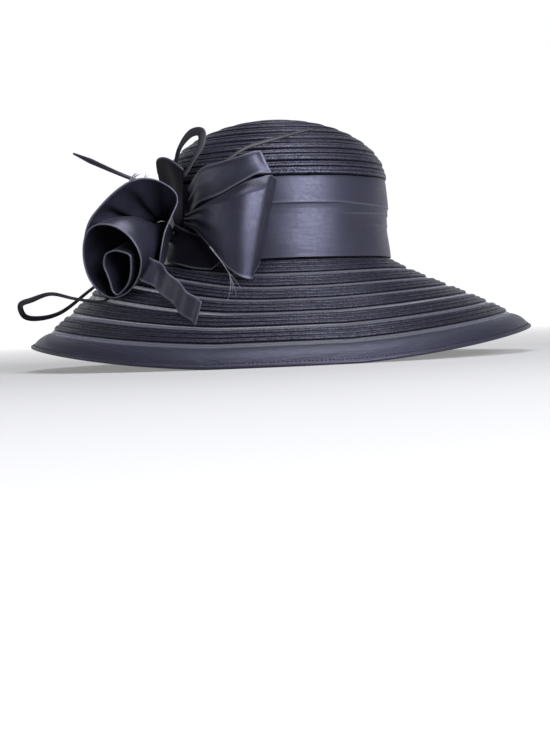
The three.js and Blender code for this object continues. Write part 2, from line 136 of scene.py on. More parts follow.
# The band's folds from the top down: height and slack
FOLDS = [
    (117.4, [(0.5, 3, 0.6), (0.2, 7, 2.0)]),
    (109.5, [(0.5, 4, 2.4)]),
    (101.5, [(0.6, 3, 2.0)]),
]

# Changes round the band, in degrees: its front's middle and half width, how far its sides take to come in,
# and where on the viewer's right its top lifts, its first fold sinks and its third fold opens
FRONT_AT = 8
FRONT_HALF = 20
SIDE_FADE = 20
LIFT_BETWEEN = (16, 20)
SINK_BETWEEN = (20, 40)
OPEN_BETWEEN = (48, 72)
TOP_LIFT = 0.3
SIDE_DROP = 1.5
FIRST_SINK = 0.25
SECOND_LIP = 0.9
THIRD_LIP = 0.8

# A fold's step inwards, how far its close rows reach, and the fine painted highlight line along its edge
FOLD_STEP = 1.15
FOLD_REACH = 1.8
EDGE_HIGHLIGHT_WIDTH = 0.5
EDGE_HIGHLIGHT_SHARE = 0.85

# A fold's rows: distance below its edge and how far the cloth has stepped in there, as a share of the step
FOLD_ROWS = [
    (-1.6, 0.0), (-0.6, -0.14), (-0.15, -0.1), (0.15, 0.3),
    (0.45, 0.5), (1.5, 0.64), (4, 0.9), (8, 1.0),
]

# Rose
ROSE_CENTRE = np.array([-104, -76, 92.0])
ROSE_AXIS = np.array([-0.45, -0.83, -0.32])
ROSE_STEM = 38.7
CAP_SHARES = (0.05, 0.4, 0.75, 0.95)

# Rim rows of the rolled pieces: turn about the axis, distance from it, reach along it
# Fold rows: turn, how far it stands in from the sheet, how wide it is in degrees
# Bulge: the same three, for the part behind the rim where the roll rounds outwards
OUTER_PETAL = {
    "foot_radius": 7.9,
    "flare": 1.25,
    "closed": False,
    "rim": [
        (186.4, 29.8, 28), (152, 31.5, 26), (129, 35.6, 22), (114, 38.7, 16), (95, 44.8, 8),
        (82.7, 49.9, 0), (74.8, 50.9, -7), (63, 49.8, -13), (47, 46.8, -16), (40.4, 43, -15),
        (33.4, 36.9, -8), (19.6, 30.1, 4), (-4.7, 26.6, 12), (-34, 25.6, 13), (-62, 23, 9),
        (-92, 21.2, -1), (-122, 21.7, -2), (-150, 24.2, 6),
    ],
    "folds": [
        (160, 3.0, 7), (143, -2.6, 6), (130, 4.8, 6), (116, -3.6, 6), (104, 5.0, 5.5),
        (91, -3.6, 5.5), (79, 4.6, 5), (66, -3.0, 5), (54, 3.2, 5), (36, 1.8, 6), (12, 1.2, 9),
        (-50, -6.5, 24),
    ],
}
MIDDLE_COIL = {
    "foot_radius": 7.2,
    "flare": 0,
    "closed": True,
    "bulge": (60, 4.8, 48),
    "rim": [(turn, radius, 36) for turn, radius in (
        (2.3, 23.9), (36.5, 25), (73.6, 26.8), (106.6, 28.7), (133.2, 27.8), (174.4, 25.7),
        (213.3, 28.2), (247.3, 30), (275, 26.4), (303.4, 23.3), (332, 22.6),
    )],
    "folds": [
        (25, 0.9, 12), (72, -0.8, 10), (118, 1.3, 12), (160, -0.9, 12), (205, 1.2, 10),
        (250, -0.8, 10), (292, 1.0, 10),
    ],
}
INNER_COIL = {
    "foot_radius": 5.6,
    "flare": 0,
    "closed": True,
    "rim": [(turn, radius, 37) for turn, radius in (
        (12, 16.1), (51, 9.7), (88.5, 7.3), (132, 7.1), (176, 7.7), (204, 9.4), (228, 11.5),
        (247, 17), (255, 23.4), (263, 26), (280, 22.5), (298, 19.4), (321, 16.6), (350.6, 15.4),
    )],
    "folds": [(30, 0.5, 14), (200, 0.8, 12), (258, -1.6, 7)],
}

# The share of a ribbon's width over which its high edge rolls back, and how far along its gathers reach
ROLL_SHARE = 0.15
GATHER_REACH = 0.16

# Ribbon rows, from the high long edge to the low one: around, height and off of each
BOW_RIBBON = [
    (-46, 134, 1.3, -44.5, 115, 1.3),
    (-32, 146.2, 11, -35, 121.5, 9),
    (-20, 148.9, 18, -22.5, 125.6, 16.5),
    (-11.8, 152, 20, -13, 133.3, 19),
    (-7.5, 154.4, 18, -6.2, 138.9, 18),
    (-5.2, 155.1, 14.5, -1.5, 139.1, 15),
]
BOW_LOOP = [
    (-48, 114.4, 1.6, -48.8, 108, 1.6),
    (-36, 118, 10, -36.2, 100.6, 10),
    (-26.8, 122, 17, -27.5, 89.6, 18),
    (-20, 126, 21.5, -21.5, 78.2, 22.5),
    (-15.5, 129.6, 22.5, -17.5, 70.4, 24),
    (-11.2, 133, 21.4, -14.5, 65.8, 24.2),
    (-6.8, 135.6, 18, -12.2, 63.4, 22.6),
    (-2, 137.6, 13.2, -10.2, 62.9, 19.2),
    (-0.5, 137, 7, -10, 67.2, 12),
    (0.9, 134.4, 2.7, -8.2, 76, 3.6),
    (-2, 127.7, 1.1, -9.8, 86.5, 1.1),
]
# The lower loop's first rows reach further left and higher, so that its dark cloth stands in for the shade
# between the petal and the knot
LOWER_LOOP = [
    (-58, 108, 1.2, -71, 88, 1.3),
    (-50, 103.5, 1.8, -62, 84.5, 5),
    (-42, 99.5, 3.5, -55, 79.5, 10),
    (-34, 95.5, 6, -46, 76.8, 12.5),
    (-27, 88, 8, -36.5, 73, 13.5),
    (-22, 79.5, 8.5, -28, 71.2, 12.5),
]
BACK_PETAL = [
    (-69.7, 149.8, 6.6, -71, 122, 1.1),
    (-66, 157.5, 9, -66, 115.5, 1.1),
    (-59, 159, 9.5, -60.5, 114, 1.1),
    (-51.5, 155.5, 9, -56, 101.5, 1.1),
    (-45.5, 148, 6.5, -51, 102, 1.1),
]

# Ribbon end rows: x, y, z, lean
TAB = [
    (-96.9, -109.2, 73.6, -0.3),
    (-87.5, -119, 67.5, -0.15),
    (-76.5, -136, 56.5, 0),
    (-66.5, -150, 46.2, 0),
    (-57.5, -161, 38.6, 0),
]
TAB_WIDTH = 17
TAB_RIPPLE = 1.05
TAB_RIPPLES = 2.9

# Quill rows: x, y, z, width
QUILL_THICKNESS = 0.9
QUILLS = {
    "quill_tip_left": [
        (-81.2, -54.9, 130, 2.2),
        (-100, -60, 140, 2.4),
        (-119, -64, 148.5, 2.6),
        (-138, -62, 158, 3.6),
        (-151, -60, 164.5, 1.1),
    ],
    "quill_tip_right": [
        (-38.5, -104.5, 147, 2.4),
        (-22, -101, 158, 2.4),
        (1, -95, 165, 2.3),
        (17, -92, 169, 2),
        (29, -90, 171.7, 1.1),
    ],
    "quill_loop_upper": [
        (-72.1, -63.5, 140, 2.2),
        (-73.5, -64, 154, 2.4),
        (-69, -70, 166, 3),
        (-60, -72, 175, 5.6),
        (-53.5, -73, 175, 6.6),
        (-53.5, -74, 166, 4.6),
        (-60, -75, 154, 2.6),
        (-67, -75, 143, 2.4),
    ],
    "quill_loop_side": [
        (-121.5, -80.5, 58.9, 1.8),
        (-131, -86, 51.5, 1.8),
        (-152, -80, 54.3, 1.8),
        (-172, -70, 59, 2.4),
        (-187, -62, 55.5, 3.6),
        (-197.6, -52, 52, 4),
        (-197, -42, 44, 4),
        (-188, -20, 41.5, 3.4),
        (-173, 0, 46, 2.6),
        (-150, -6, 61.5, 2),
        (-122, -24, 80, 1.8),
        (-97, -42, 97, 1.8),
    ],
}

# Thin strands: their thickness at the root and the points that they pass
BARBS = [
    (1.3, [(-49, -113, 87), (-46.2, -117, 83), (-40.5, -119, 75), (-35.6, -121, 66.4)]),
    (0.5, [(-35.6, -121, 66.4), (-35, -127, 57.5), (-37.4, -140, 47)]),
    (0.5, [(-35.6, -121, 66.4), (-32.6, -128, 57.5), (-30.6, -138.8, 48.6)]),
    (0.5, [(-36.2, -120.6, 68), (-30.6, -124.5, 60.5), (-26.4, -131, 53.8)]),
    (0.4, [(-35.6, -121, 66.4), (-33.8, -127, 58), (-34.2, -134, 51.5)]),
    (1.5, [(-107, -92, 139.5), (-104, -93, 142.8), (-101, -93, 144.6)]),
    (1.2, [(-105, -92, 140), (-101.5, -93, 142.8), (-99, -92.5, 143.8)]),
    (0.5, [(-103, -92, 142), (-103, -93, 143.8), (-102.4, -93, 145.4)]),
    (1.0, [(-96, -89, 141), (-95.4, -88.5, 142.8), (-94.8, -88, 144.2)]),
    (0.5, [(-95, -89, 141), (-94, -88.5, 142.4), (-93, -88, 143.4)]),
]
WISPS = [
    (0.6, [(-131, -88, 68), (-134.4, -92, 61.9), (-136.5, -94, 56.6), (-135.6, -96, 50.4)]),
    (0.5, [(-131, -88, 68), (-132.9, -92, 57.9), (-130.5, -95, 50.5)]),
    (0.5, [(-130, -88, 67), (-131.5, -92, 60), (-133.4, -96, 51.5)]),
    (0.4, [(-132, -88, 68), (-138.1, -92, 60.5), (-139.5, -94, 55)]),
    (0.4, [(-129, -88, 66), (-129, -93, 57), (-128, -95, 52)]),
    (0.4, [(-26.2, -104, 156.6), (-27, -104, 158), (-28, -104, 159.6)]),
    (0.4, [(-26, -104, 156.8), (-25.6, -104, 159), (-24.9, -104, 160.8)]),
    (0.4, [(-25.4, -104, 157), (-24, -104, 159), (-22, -104, 160.4)]),
]


def lerp(a, b, t):
    return a + (b - a) * t


def ease(t):
    t = np.clip(t, 0, 1)
    return t * t * (3 - 2 * t)


def unit(v):
    return v / np.maximum(np.linalg.norm(v, axis=-1, keepdims=True), 1e-9)


def bell(x):
    return np.exp(-x * x)


def curve(points, t, closed=False):
    """Points at the shares t of a centripetal Catmull-Rom curve, the kind that the part's source uses."""
    points = np.asarray(points, float)
    t = np.asarray(t, float)
    count = len(points)
    if closed:
        place = count * t
        k = np.floor(place).astype(int)
        w = place - k
        around = [points[(k + n) % count] for n in (-1, 0, 1, 2)]
    else:
        place = (count - 1) * t
        k = np.minimum(np.floor(place).astype(int), count - 2)
        w = place - k
        longer = np.vstack([2 * points[0] - points[1], points, 2 * points[-1] - points[-2]])
        around = [longer[k + 1 + n] for n in (-1, 0, 1, 2)]
    a, b, c, d = around
    steps = ((a, b), (b, c), (c, d))
    before, here, after = [np.sqrt(np.linalg.norm(q - p, axis=1))[:, None] for p, q in steps]
    here = np.maximum(here, 1e-4)
    before = np.where(before < 1e-4, here, before)
    after = np.where(after < 1e-4, here, after)
    start = ((b - a) / before - (c - a) / (before + here) + (c - b) / here) * here
    end = ((c - b) / here - (d - b) / (here + after) + (d - c) / after) * here
    w = w[:, None]
    return b + start * w + (-3 * b + 3 * c - 2 * start - end) * w**2 + (2 * b - 2 * c + start + end) * w**3


# Meshes
def add(name, data):
    added = bpy.data.objects.new(name, data)
    bpy.context.scene.collection.objects.link(added)
    return added


def make(name, corners, faces, uv, material, hem=None):
    """A piece from corners in millimetres, its faces, and a pair of pattern coordinates for each face corner.
    Hem says how strongly each corner takes the painted highlight of a hem or fold edge."""
    mesh = bpy.data.meshes.new(name)
    mesh.from_pydata((np.asarray(corners) * MM).tolist(), [], [list(f) for f in faces])
    mesh.materials.append(material)
    layer = mesh.uv_layers.new(name="cloth")
    layer.data.foreach_set("uv", np.asarray(uv, float).reshape(-1).astype(np.float32))
    mesh.polygons.foreach_set("use_smooth", np.ones(len(mesh.polygons), bool))
    if hem is not None:
        hem_highlight = mesh.attributes.new("hem", "FLOAT", "POINT")
        hem_highlight.data.foreach_set("value", hem.reshape(-1).astype(np.float32))
    mesh.update()
    return add(name, mesh)


def solid_of(quads, points):
    """The signed volume that the quads enclose."""
    a, b, c, d = [points[quads[:, n]] for n in range(4)]
    return float((np.cross(b - a, c - a) * a).sum() + (np.cross(c - a, d - a) * a).sum())


def loft(name, points, uv, material, wrap, hem=None):
    """Closed sections, one for each row of points, joined in order. With wrap the last joins the first, and
    without it a flat strip closes each end. uv holds a pair for each corner of each face."""
    sections, around, _ = points.shape
    steps = sections if wrap else sections - 1
    i = np.arange(steps)[:, None]
    k = np.arange(around)[None, :]
    here, there = i * around, ((i + 1) % sections) * around
    onwards = (k + 1) % around
    quads = np.stack([here + k, there + k, there + onwards, here + onwards], -1).reshape(-1, 4)
    corners = points.reshape(-1, 3)
    uv = uv.reshape(-1, 4, 2)
    if not wrap:
        half = around // 2
        k = np.arange(half - 1)
        first = np.stack([k, k + 1, around - 2 - k, around - 1 - k], -1)
        last = (first + (sections - 1) * around)[:, ::-1]
        quads = np.concatenate([quads, first, last])
        uv = np.concatenate([uv, np.zeros((2 * (half - 1), 4, 2))])
    if solid_of(quads, corners) < 0:
        quads, uv = quads[:, ::-1], uv[:, ::-1]
    return make(name, corners, quads.tolist(), uv, material, hem)


def face_uv(u, v):
    """Pairs for the corners of each face, from values at a grid's corners, one more each way than faces."""
    both = np.stack([u, v], -1)
    return np.stack([both[:-1, :-1], both[1:, :-1], both[1:, 1:], both[:-1, 1:]], 2)


def spans(grid, axis):
    """Distance along the grid from its first row, at every point."""
    step = np.linalg.norm(np.diff(grid, axis=axis), axis=-1)
    lead = [(0, 0), (0, 0)]
    lead[axis] = (1, 0)
    return np.pad(np.cumsum(step, axis=axis), lead)


def normals(grid, closed):
    if closed:
        along = np.roll(grid, -1, 0) - np.roll(grid, 1, 0)
    else:
        along = np.gradient(grid, axis=0)
    return unit(np.cross(along, np.gradient(grid, axis=1)))


def with_round_edges(grid, thick, others, axis):
    """The same sheet with two more rows at each end of an axis, which round its edges off."""
    first, last = [], []
    for rows, at, inner in ((first, 0, 1), (last, -1, -2)):
        edge = np.take(grid, [at], axis)
        way = unit(edge - np.take(grid, [inner], axis))
        full = np.take(thick, [at], axis)
        for turn in EDGE_TURNS:
            rows.append((edge + way * full[..., None] / 2 * math.sin(turn), full * math.cos(turn)))
    first.reverse()
    grid = np.concatenate([g for g, _ in first] + [grid] + [g for g, _ in last], axis)
    thick = np.concatenate([t for _, t in first] + [thick] + [t for _, t in last], axis)
    more = len(EDGE_TURNS)
    others = [
        np.concatenate([np.take(o, [0] * more, axis), o, np.take(o, [-1] * more, axis)], axis) for o in others
    ]
    return grid, thick, others


def shell(name, grid, material, closed=False, thickness=SATIN, hem=HEM, hems=("far",)):
    """A sheet of cloth with two faces and round edges over a grid of points. A hem thickens the edges named:
    near and far are the first and last columns, start and end the first and last rows."""
    normal = normals(grid, closed)
    width, length = spans(grid, 1), spans(grid, 0)
    edge = np.full(grid.shape[:2], np.inf)
    for side, distance in (
        ("near", width),
        ("far", width[:, -1:] - width),
        ("start", length),
        ("end", length[-1:] - length),
    ):
        if side in hems:
            edge = np.minimum(edge, distance)
    thick = thickness + hem * np.sqrt(np.clip(1 - edge / HEM_WIDTH, 0, 1))
    # The lighter colour near a hem is a painted highlight, strongest at the edge
    others = [normal, length, width, ease(HEM_HIGHLIGHT_GAIN * (1 - edge / HEM_WIDTH))]
    grid, thick, others = with_round_edges(grid, thick, others, 1)
    if not closed:
        grid, thick, others = with_round_edges(grid, thick, others, 0)
    normal, length, width, hem_highlight = others
    hem_highlight = np.concatenate([hem_highlight, hem_highlight[:, ::-1]], 1)
    offset = normal * thick[..., None] / 2
    points = np.concatenate([grid + offset, (grid - offset)[:, ::-1]], 1)
    if closed:
        gap = np.linalg.norm(grid[0] - grid[-1], axis=-1)
        length = np.concatenate([length, (length[-1] + gap)[None]])
        width = np.concatenate([width, width[:1]])
    u = np.concatenate([length, length[:, ::-1], length[:, :1]], 1)
    v = np.concatenate([width, width[:, ::-1], width[:, :1]], 1)
    return loft(name, points, face_uv(u, v), material, closed, hem_highlight)


def strand(points, thickness, steps=10, sides=5):
    """Corners and faces of a thin tapering strand, for strands()."""
    t = np.linspace(0, 1, steps + 1)
    line = curve(points, t)
    way = unit(np.gradient(line, axis=0))
    side = unit(np.cross(way, [0.2, -1, 0.1]))
    up = np.cross(side, way)
    turn = round_angles(sides)
    radius = (thickness / 2 * (1 - 0.75 * t**1.5))[:, None, None]
    ring = np.cos(turn)[None, :, None] * side[:, None] + np.sin(turn)[None, :, None] * up[:, None]
    corners = (line[:, None] + radius * ring).reshape(-1, 3)
    faces = []
    for i in range(steps):
        for k in range(sides):
            n = (k + 1) % sides
            faces.append((i * sides + k, i * sides + n, (i + 1) * sides + n, (i + 1) * sides + k))
    faces.append(tuple(range(sides))[::-1])
    faces.append(tuple(steps * sides + k for k in range(sides)))
    return corners, faces


def strands(name, rows, material):
    """One piece from several strands, each a thickness and the points that it passes."""
    corners, faces, start = [], [], 0
    for thickness, points in rows:
        c, f = strand(points, thickness)
        corners.append(c)
        faces += [tuple(k + start for k in face) for face in f]
        start += len(c)
    uv = np.zeros((sum(len(f) for f in faces), 2))
    return make(name, np.concatenate(corners), faces, uv, material)


def stitches(name, middles, ways, ups, length, width, material):
    """A row of small thread stitches: each is a stretched octahedron that lies along its way."""
    end = ways * length / 2
    side = unit(np.cross(ways, ups)) * width / 2
    top = ups * width / 2
    tips = [end, -end, side, -side, top, -top]
    corners = np.stack([middles + t for t in tips], 1).reshape(-1, 3)
    each = np.array([(0, 2, 4), (2, 1, 4), (1, 3, 4), (3, 0, 4), (2, 0, 5), (1, 2, 5), (3, 1, 5), (0, 3, 5)])
    faces = (each[None] + len(tips) * np.arange(len(middles))[:, None, None]).reshape(-1, 3)
    return make(name, corners, faces.tolist(), np.zeros((len(faces) * 3, 2)), material)


# Forms of the hat
def round_angles(count):
    return np.arange(count) / count * 2 * math.pi


def oval(half_width, half_length, angle, height):
    return np.stack([half_width * np.sin(angle), -half_length * np.cos(angle), height], -1)


def wall_point(around, height, off):
    """Points outside the crown's wall. around is in radians."""
    share = (height - WALL_FOOT_HEIGHT) / (WALL_TOP_HEIGHT - WALL_FOOT_HEIGHT)
    half_width = lerp(WALL_FOOT_HALF_WIDTH, WALL_TOP_HALF_WIDTH, share)
    half_length = half_width * LENGTH_RATIO
    out = unit(np.stack([np.sin(around) / half_width, -np.cos(around) / half_length, 0 * half_width], -1))
    return oval(half_width, half_length, around, height) + out * np.asarray(off)[..., None]


def band_points(rows):
    """Points outside the hat band from rows of around in degrees, height and off."""
    around, height, off = np.asarray(rows, float).T
    on = np.clip(height, WALL_FOOT_HEIGHT, WALL_TOP_HEIGHT)
    points = wall_point(np.radians(around), on, BAND_OUTSIDE + off)
    points[:, 2] = height
    return points


def rim_height(angle):
    flat = math.sin(math.radians(FLAT_ARC)) ** 2
    return SIDE_LIFT * np.maximum(0, np.sin(angle) ** 2 - flat) / (1 - flat)


def brim_middle(share, angle):
    half_width = lerp(JOIN_HALF_WIDTH, RIM_HALF_WIDTH, share)
    half_length = lerp(JOIN_HALF_LENGTH, RIM_HALF_LENGTH, share)
    left = np.maximum(0, -np.sin(angle)) ** 2
    arch = share * (1 - share)
    fullness = FULLNESS + LEFT_FULLNESS * left
    inner = OUTER_FULLNESS + LEFT_INNER_FULLNESS * left
    fall = 1 - share + arch * (fullness + inner * (1 - 2 * share))
    rim = rim_height(angle)
    height = rim + RIM_HALF_THICKNESS * share + (JOIN_HEIGHT - rim) * fall
    return oval(half_width, half_length, angle, height)


def brim_normal(share, angle):
    step = 1e-3
    along = brim_middle(share + step, angle) - brim_middle(share - step, angle)
    around = brim_middle(share, angle + step) - brim_middle(share, angle - step)
    normal = unit(np.cross(around, along))
    return np.where(normal[..., 2:] < 0, -normal, normal)


def brim_point(share, angle, off):
    return brim_middle(share, angle) + brim_normal(share, angle) * np.asarray(off)[..., None]


def ring_piece(name, points, plaits, v, material):
    """A ring of braid, with whole plaits round it for each face of its section, and v at the face's sides."""
    sides = len(points)
    i = np.arange(sides)[:, None] / sides
    u0, u1 = i * plaits[None], (i + 1 / sides) * plaits[None]
    v0, v1 = np.broadcast_to(v[0], u0.shape), np.broadcast_to(v[1], u0.shape)
    uv = np.stack([np.stack(pair, -1) for pair in ((u0, v0), (u1, v0), (u1, v1), (u0, v1))], 2)
    return loft(name, points, uv, material, True)


def plain_uv(points, around):
    """Pattern pairs for a closed ring of cloth: the distance round it, and the distance along its section."""
    sides, count, _ = points.shape
    run = spans(points, 1)
    u = np.broadcast_to(around * np.linspace(0, 1, sides + 1)[:, None], (sides + 1, count + 1))
    v = np.concatenate([run, run[:, :1]], 1)
    return face_uv(u, np.concatenate([v, v[:1]]))


def weld(piece):
    """Joins the corners that meet at the crown's tip."""
    mesh = bmesh.new()
    mesh.from_mesh(piece.data)
    bmesh.ops.remove_doubles(mesh, verts=mesh.verts, dist=1e-6)
    mesh.to_mesh(piece.data)
    mesh.free()
    piece.data.update()


def tapes_across(count):
    """Shares across a row of sewn tapes, and each one's tape number and height on its tape's crest."""
    rows = [(0, 0, 0)]
    for tape in range(count):
        rows += [((tape + t) / count, tape, f) for t, f in TAPE_OUTLINE]
    return rows


# Crown: rows of two tapes each over the dome, from the foot to the tip
def crown_piece(material):
    t = np.linspace(0, math.pi / 2, 3000)
    ellipse = np.stack([DOME_HALF_WIDTH * np.cos(t), DOME_FOOT_HEIGHT + DOME_RISE * np.sin(t)], 1)
    run = np.concatenate([[0], np.cumsum(np.linalg.norm(np.diff(ellipse, axis=0), axis=1))])
    run /= run[-1]
    profile = [(WALL_FOOT_HALF_WIDTH, WALL_FOOT_HEIGHT), (WALL_TOP_HALF_WIDTH, WALL_TOP_HEIGHT)]
    tape = [0, 0]
    across = [0, 1]
    for row in range(DOME_ROWS):
        for number, (low, high, rows) in enumerate(DOME_TAPES, 2 * row + 1):
            for share, relief in rows:
                angle = np.interp((row + share) / DOME_ROWS, run, t)
                way = np.array([math.cos(angle), math.sin(angle)])
                place = way * [DOME_HALF_WIDTH, DOME_RISE] + [0, DOME_FOOT_HEIGHT]
                out = unit(way / [DOME_HALF_WIDTH, DOME_RISE])
                profile.append(place + out * relief * min(1, (DOME_ROWS - row - share) * TIP_FADE))
                tape.append(number)
                across.append(number + min((share - low) / (high - low), 1))
    top = DOME_FOOT_HEIGHT + DOME_RISE
    tip = 2 * DOME_ROWS + 1
    profile += [(0, top), (0, top - CROWN_WALL)]
    tape += [tip - 1, tip]
    across.append(tip)
    for angle in np.radians(np.linspace(90, 0, INNER_DOME_ROWS))[1:-1]:
        ridge = INNER_RIDGE * math.sin(angle * INNER_RIDGE_TURNS)
        half_width = DOME_HALF_WIDTH - 2 * CROWN_WALL + ridge
        rise = DOME_RISE - CROWN_WALL + ridge
        profile.append((half_width * math.cos(angle), DOME_FOOT_HEIGHT + rise * math.sin(angle)))
        tape.append(tip + int(angle * INNER_TAPES))
    profile.append((WALL_TOP_HALF_WIDTH - CROWN_WALL, WALL_TOP_HEIGHT))
    profile.append((WALL_FOOT_HALF_WIDTH - CROWN_WALL, WALL_FOOT_HEIGHT))
    tape += [0, 0]
    profile, tape = np.array(profile), np.array(tape)
    reach = np.array([profile[tape == n, 0].mean() for n in tape])
    angle = round_angles(CROWN_SIDES)[:, None]
    half_width, height = profile.T[:, None]
    points = oval(half_width, LENGTH_RATIO * half_width, angle, height + 0 * angle)
    inside = profile[len(across) - 1:]
    steps = np.linalg.norm(np.diff(inside, axis=0, append=profile[:1]), axis=1)
    across = np.concatenate([across, across[-1] + np.cumsum(steps) / TAPE_WIDTH])
    plaits = np.maximum(1, np.round(2 * math.pi * reach * MEAN_RATIO / PLAIT))
    piece = ring_piece("crown_braid", points, plaits, (across[:-1], across[1:]), material)
    weld(piece)
    return piece


# Brim: rings of three tapes, crowned above and nearly flat below
def braid_ring(name, start, end, material):
    rows = tapes_across(TAPES_IN_RING)
    above = [(share, tape, TAPE_GROOVE + TAPE_CREST * f) for share, tape, f in rows]
    below = [(share, tape, -TAPE_GROOVE - TAPE_UNDER_CREST * f) for share, tape, f in rows[::-1]]
    across, tape, off = np.array(above + below).T
    points = brim_point(lerp(start, end, across), round_angles(BRIM_SIDES)[:, None], off)
    middle = lerp(start, end, (tape + 0.5) / TAPES_IN_RING)
    size = 2 * math.pi * lerp(JOIN_HALF_WIDTH, RIM_HALF_WIDTH, middle)
    v = across * TAPES_IN_RING
    return ring_piece(name, points, np.round(size / PLAIT), (v, np.roll(v, -1)), material)


# The net lies between the two layers of each braid ring, so it runs on under the tapes on both sides
def net_ring(name, start, end, material):
    tuck = SHEER_TUCK / BRIM_DEPTH
    share = np.linspace(start - tuck, end + tuck, 9)
    angle = np.linspace(0, 2 * math.pi, BRIM_SIDES, endpoint=False)
    grid = brim_middle(share, angle[:, None])
    return shell(name, grid, material, closed=True, thickness=SHEER_THICKNESS, hem=0, hems=())


def binding_piece(start, material):
    """The wide binding, folded over a round wired edge that stands on the floor."""
    t = np.linspace(0, 1, 24)
    swell = TAPE_GROOVE + BINDING_CREST * np.sin(math.pi * np.minimum(1, t * 1.1)) ** 0.8
    under = np.linspace(BEAD_AT - BEAD_TUCK, start, 10)
    turns = np.radians(np.linspace(*BEAD_TURNS, 14))
    angle = round_angles(BRIM_SIDES)[:, None]
    centre = brim_middle(BEAD_AT, angle)
    centre[..., 2] = rim_height(angle) + BEAD_RADIUS
    out = unit(oval(1, 1, angle, 0 * angle))
    bead = (
        centre
        + BEAD_RADIUS * np.cos(turns)[None, :, None] * out
        + BEAD_RADIUS * np.sin(turns)[None, :, None] * np.array([0, 0, 1.0])
    )
    upper = brim_point(lerp(start, BEAD_AT, t), angle, swell)
    points = np.concatenate([upper, bead, brim_point(under, angle, -TAPE_GROOVE)], 1)
    return loft("brim_binding", points, plain_uv(points, 2 * math.pi * RIM_HALF_WIDTH), material, True)


def ring_stitches(name, share, off, pitch, length, width, material):
    """Small stitches along a ring of the brim. off is their height over the braid's grooves."""
    around = 2 * math.pi * lerp(JOIN_HALF_WIDTH, RIM_HALF_WIDTH, share)
    angle = np.arange(int(around / pitch)) * (2 * math.pi / int(around / pitch))
    middles = brim_point(share, angle, TAPE_GROOVE + off)
    ways = unit(brim_middle(share, angle + 1e-3) - brim_middle(share, angle - 1e-3))
    return stitches(name, middles, ways, brim_normal(share, angle), length, width, material)


# Hat band: three folds that overlap downwards, two of which fade in towards the sides, each with a painted
# highlight line along its edge
def band_piece(material):
    angle = round_angles(BAND_SIDES)
    degrees = (np.degrees(angle) + 180) % 360 - 180
    side = ease((np.abs(degrees - FRONT_AT) - FRONT_HALF) / SIDE_FADE)

    def past(start, end):
        return ease((degrees - start) / (end - start))

    def slack(parts):
        return sum(size * np.sin(np.radians(degrees) * times + late) for size, times, late in parts)

    top = BAND_TOP + TOP_LIFT * past(*LIFT_BETWEEN) + slack(BAND_TOP_SLACK)
    foot = BAND_FOOT + slack(BAND_FOOT_SLACK)
    first, second, third = [height + slack(parts) for height, parts in FOLDS]
    folds = [
        (first - SIDE_DROP * side, 1 - FIRST_SINK * past(*SINK_BETWEEN) * (1 - side)),
        (second, SECOND_LIP * side),
        (third, THIRD_LIP * past(*OPEN_BETWEEN)),
    ]
    heights = [top + 0.1, top + 0.3, top]
    near = [below for below, _ in FOLD_ROWS if below < FOLD_REACH]
    high = top
    for low, _ in folds + [(foot, None)]:
        heights += [lerp(high - near[-1], low - near[0], t) for t in np.linspace(0, 1, 14)[1:-1]]
        if low is not foot:
            heights += [low - below for below in near]
        high = low
    heights += [foot, foot - 0.3]
    height = np.stack(heights, 1)
    up = np.clip((top[:, None] - height) / (top - foot)[:, None], 0, 1)
    off = BAND_OUTSIDE - 1.0 + BAND_SWELL * np.sin(math.pi * up) ** 0.6
    edges = np.zeros(height.shape)
    below, step = np.array(FOLD_ROWS).T
    for low, lip in folds:
        down = low[:, None] - height
        settle = np.where(down > 0, 1 - down / (low - foot)[:, None], 1)
        off = off - lip[:, None] * FOLD_STEP * np.interp(down, below, step) * settle
        # A painted highlight line runs along each fold's edge
        edges = edges + lip[:, None] * bell((down + EDGE_HIGHLIGHT_WIDTH / 2) / EDGE_HIGHLIGHT_WIDTH)
    off[:, 0] -= 0.9
    off[:, 1] -= 0.15
    soft = np.sin(height * 0.16 + 2.2 * np.sin(angle * 3)[:, None]) * np.sin(angle * 7 + 1)[:, None]
    off = off + BAND_SOFTNESS * soft
    edges = np.concatenate([np.clip(edges, 0, 1) * EDGE_HIGHLIGHT_SHARE, np.zeros((BAND_SIDES, 3))], 1)
    inner = [foot - 0.1, foot + 1, top - 2]
    height = np.concatenate([height, np.stack(inner, 1)], 1)
    off = np.concatenate([off, np.broadcast_to([0.6, SEAT, SEAT], (BAND_SIDES, 3))], 1)
    points = wall_point(angle[:, None], height, off)
    uv = plain_uv(points, 2 * math.pi * WALL_TOP_HALF_WIDTH)
    return loft("band_satin", points, uv, material, True, edges)


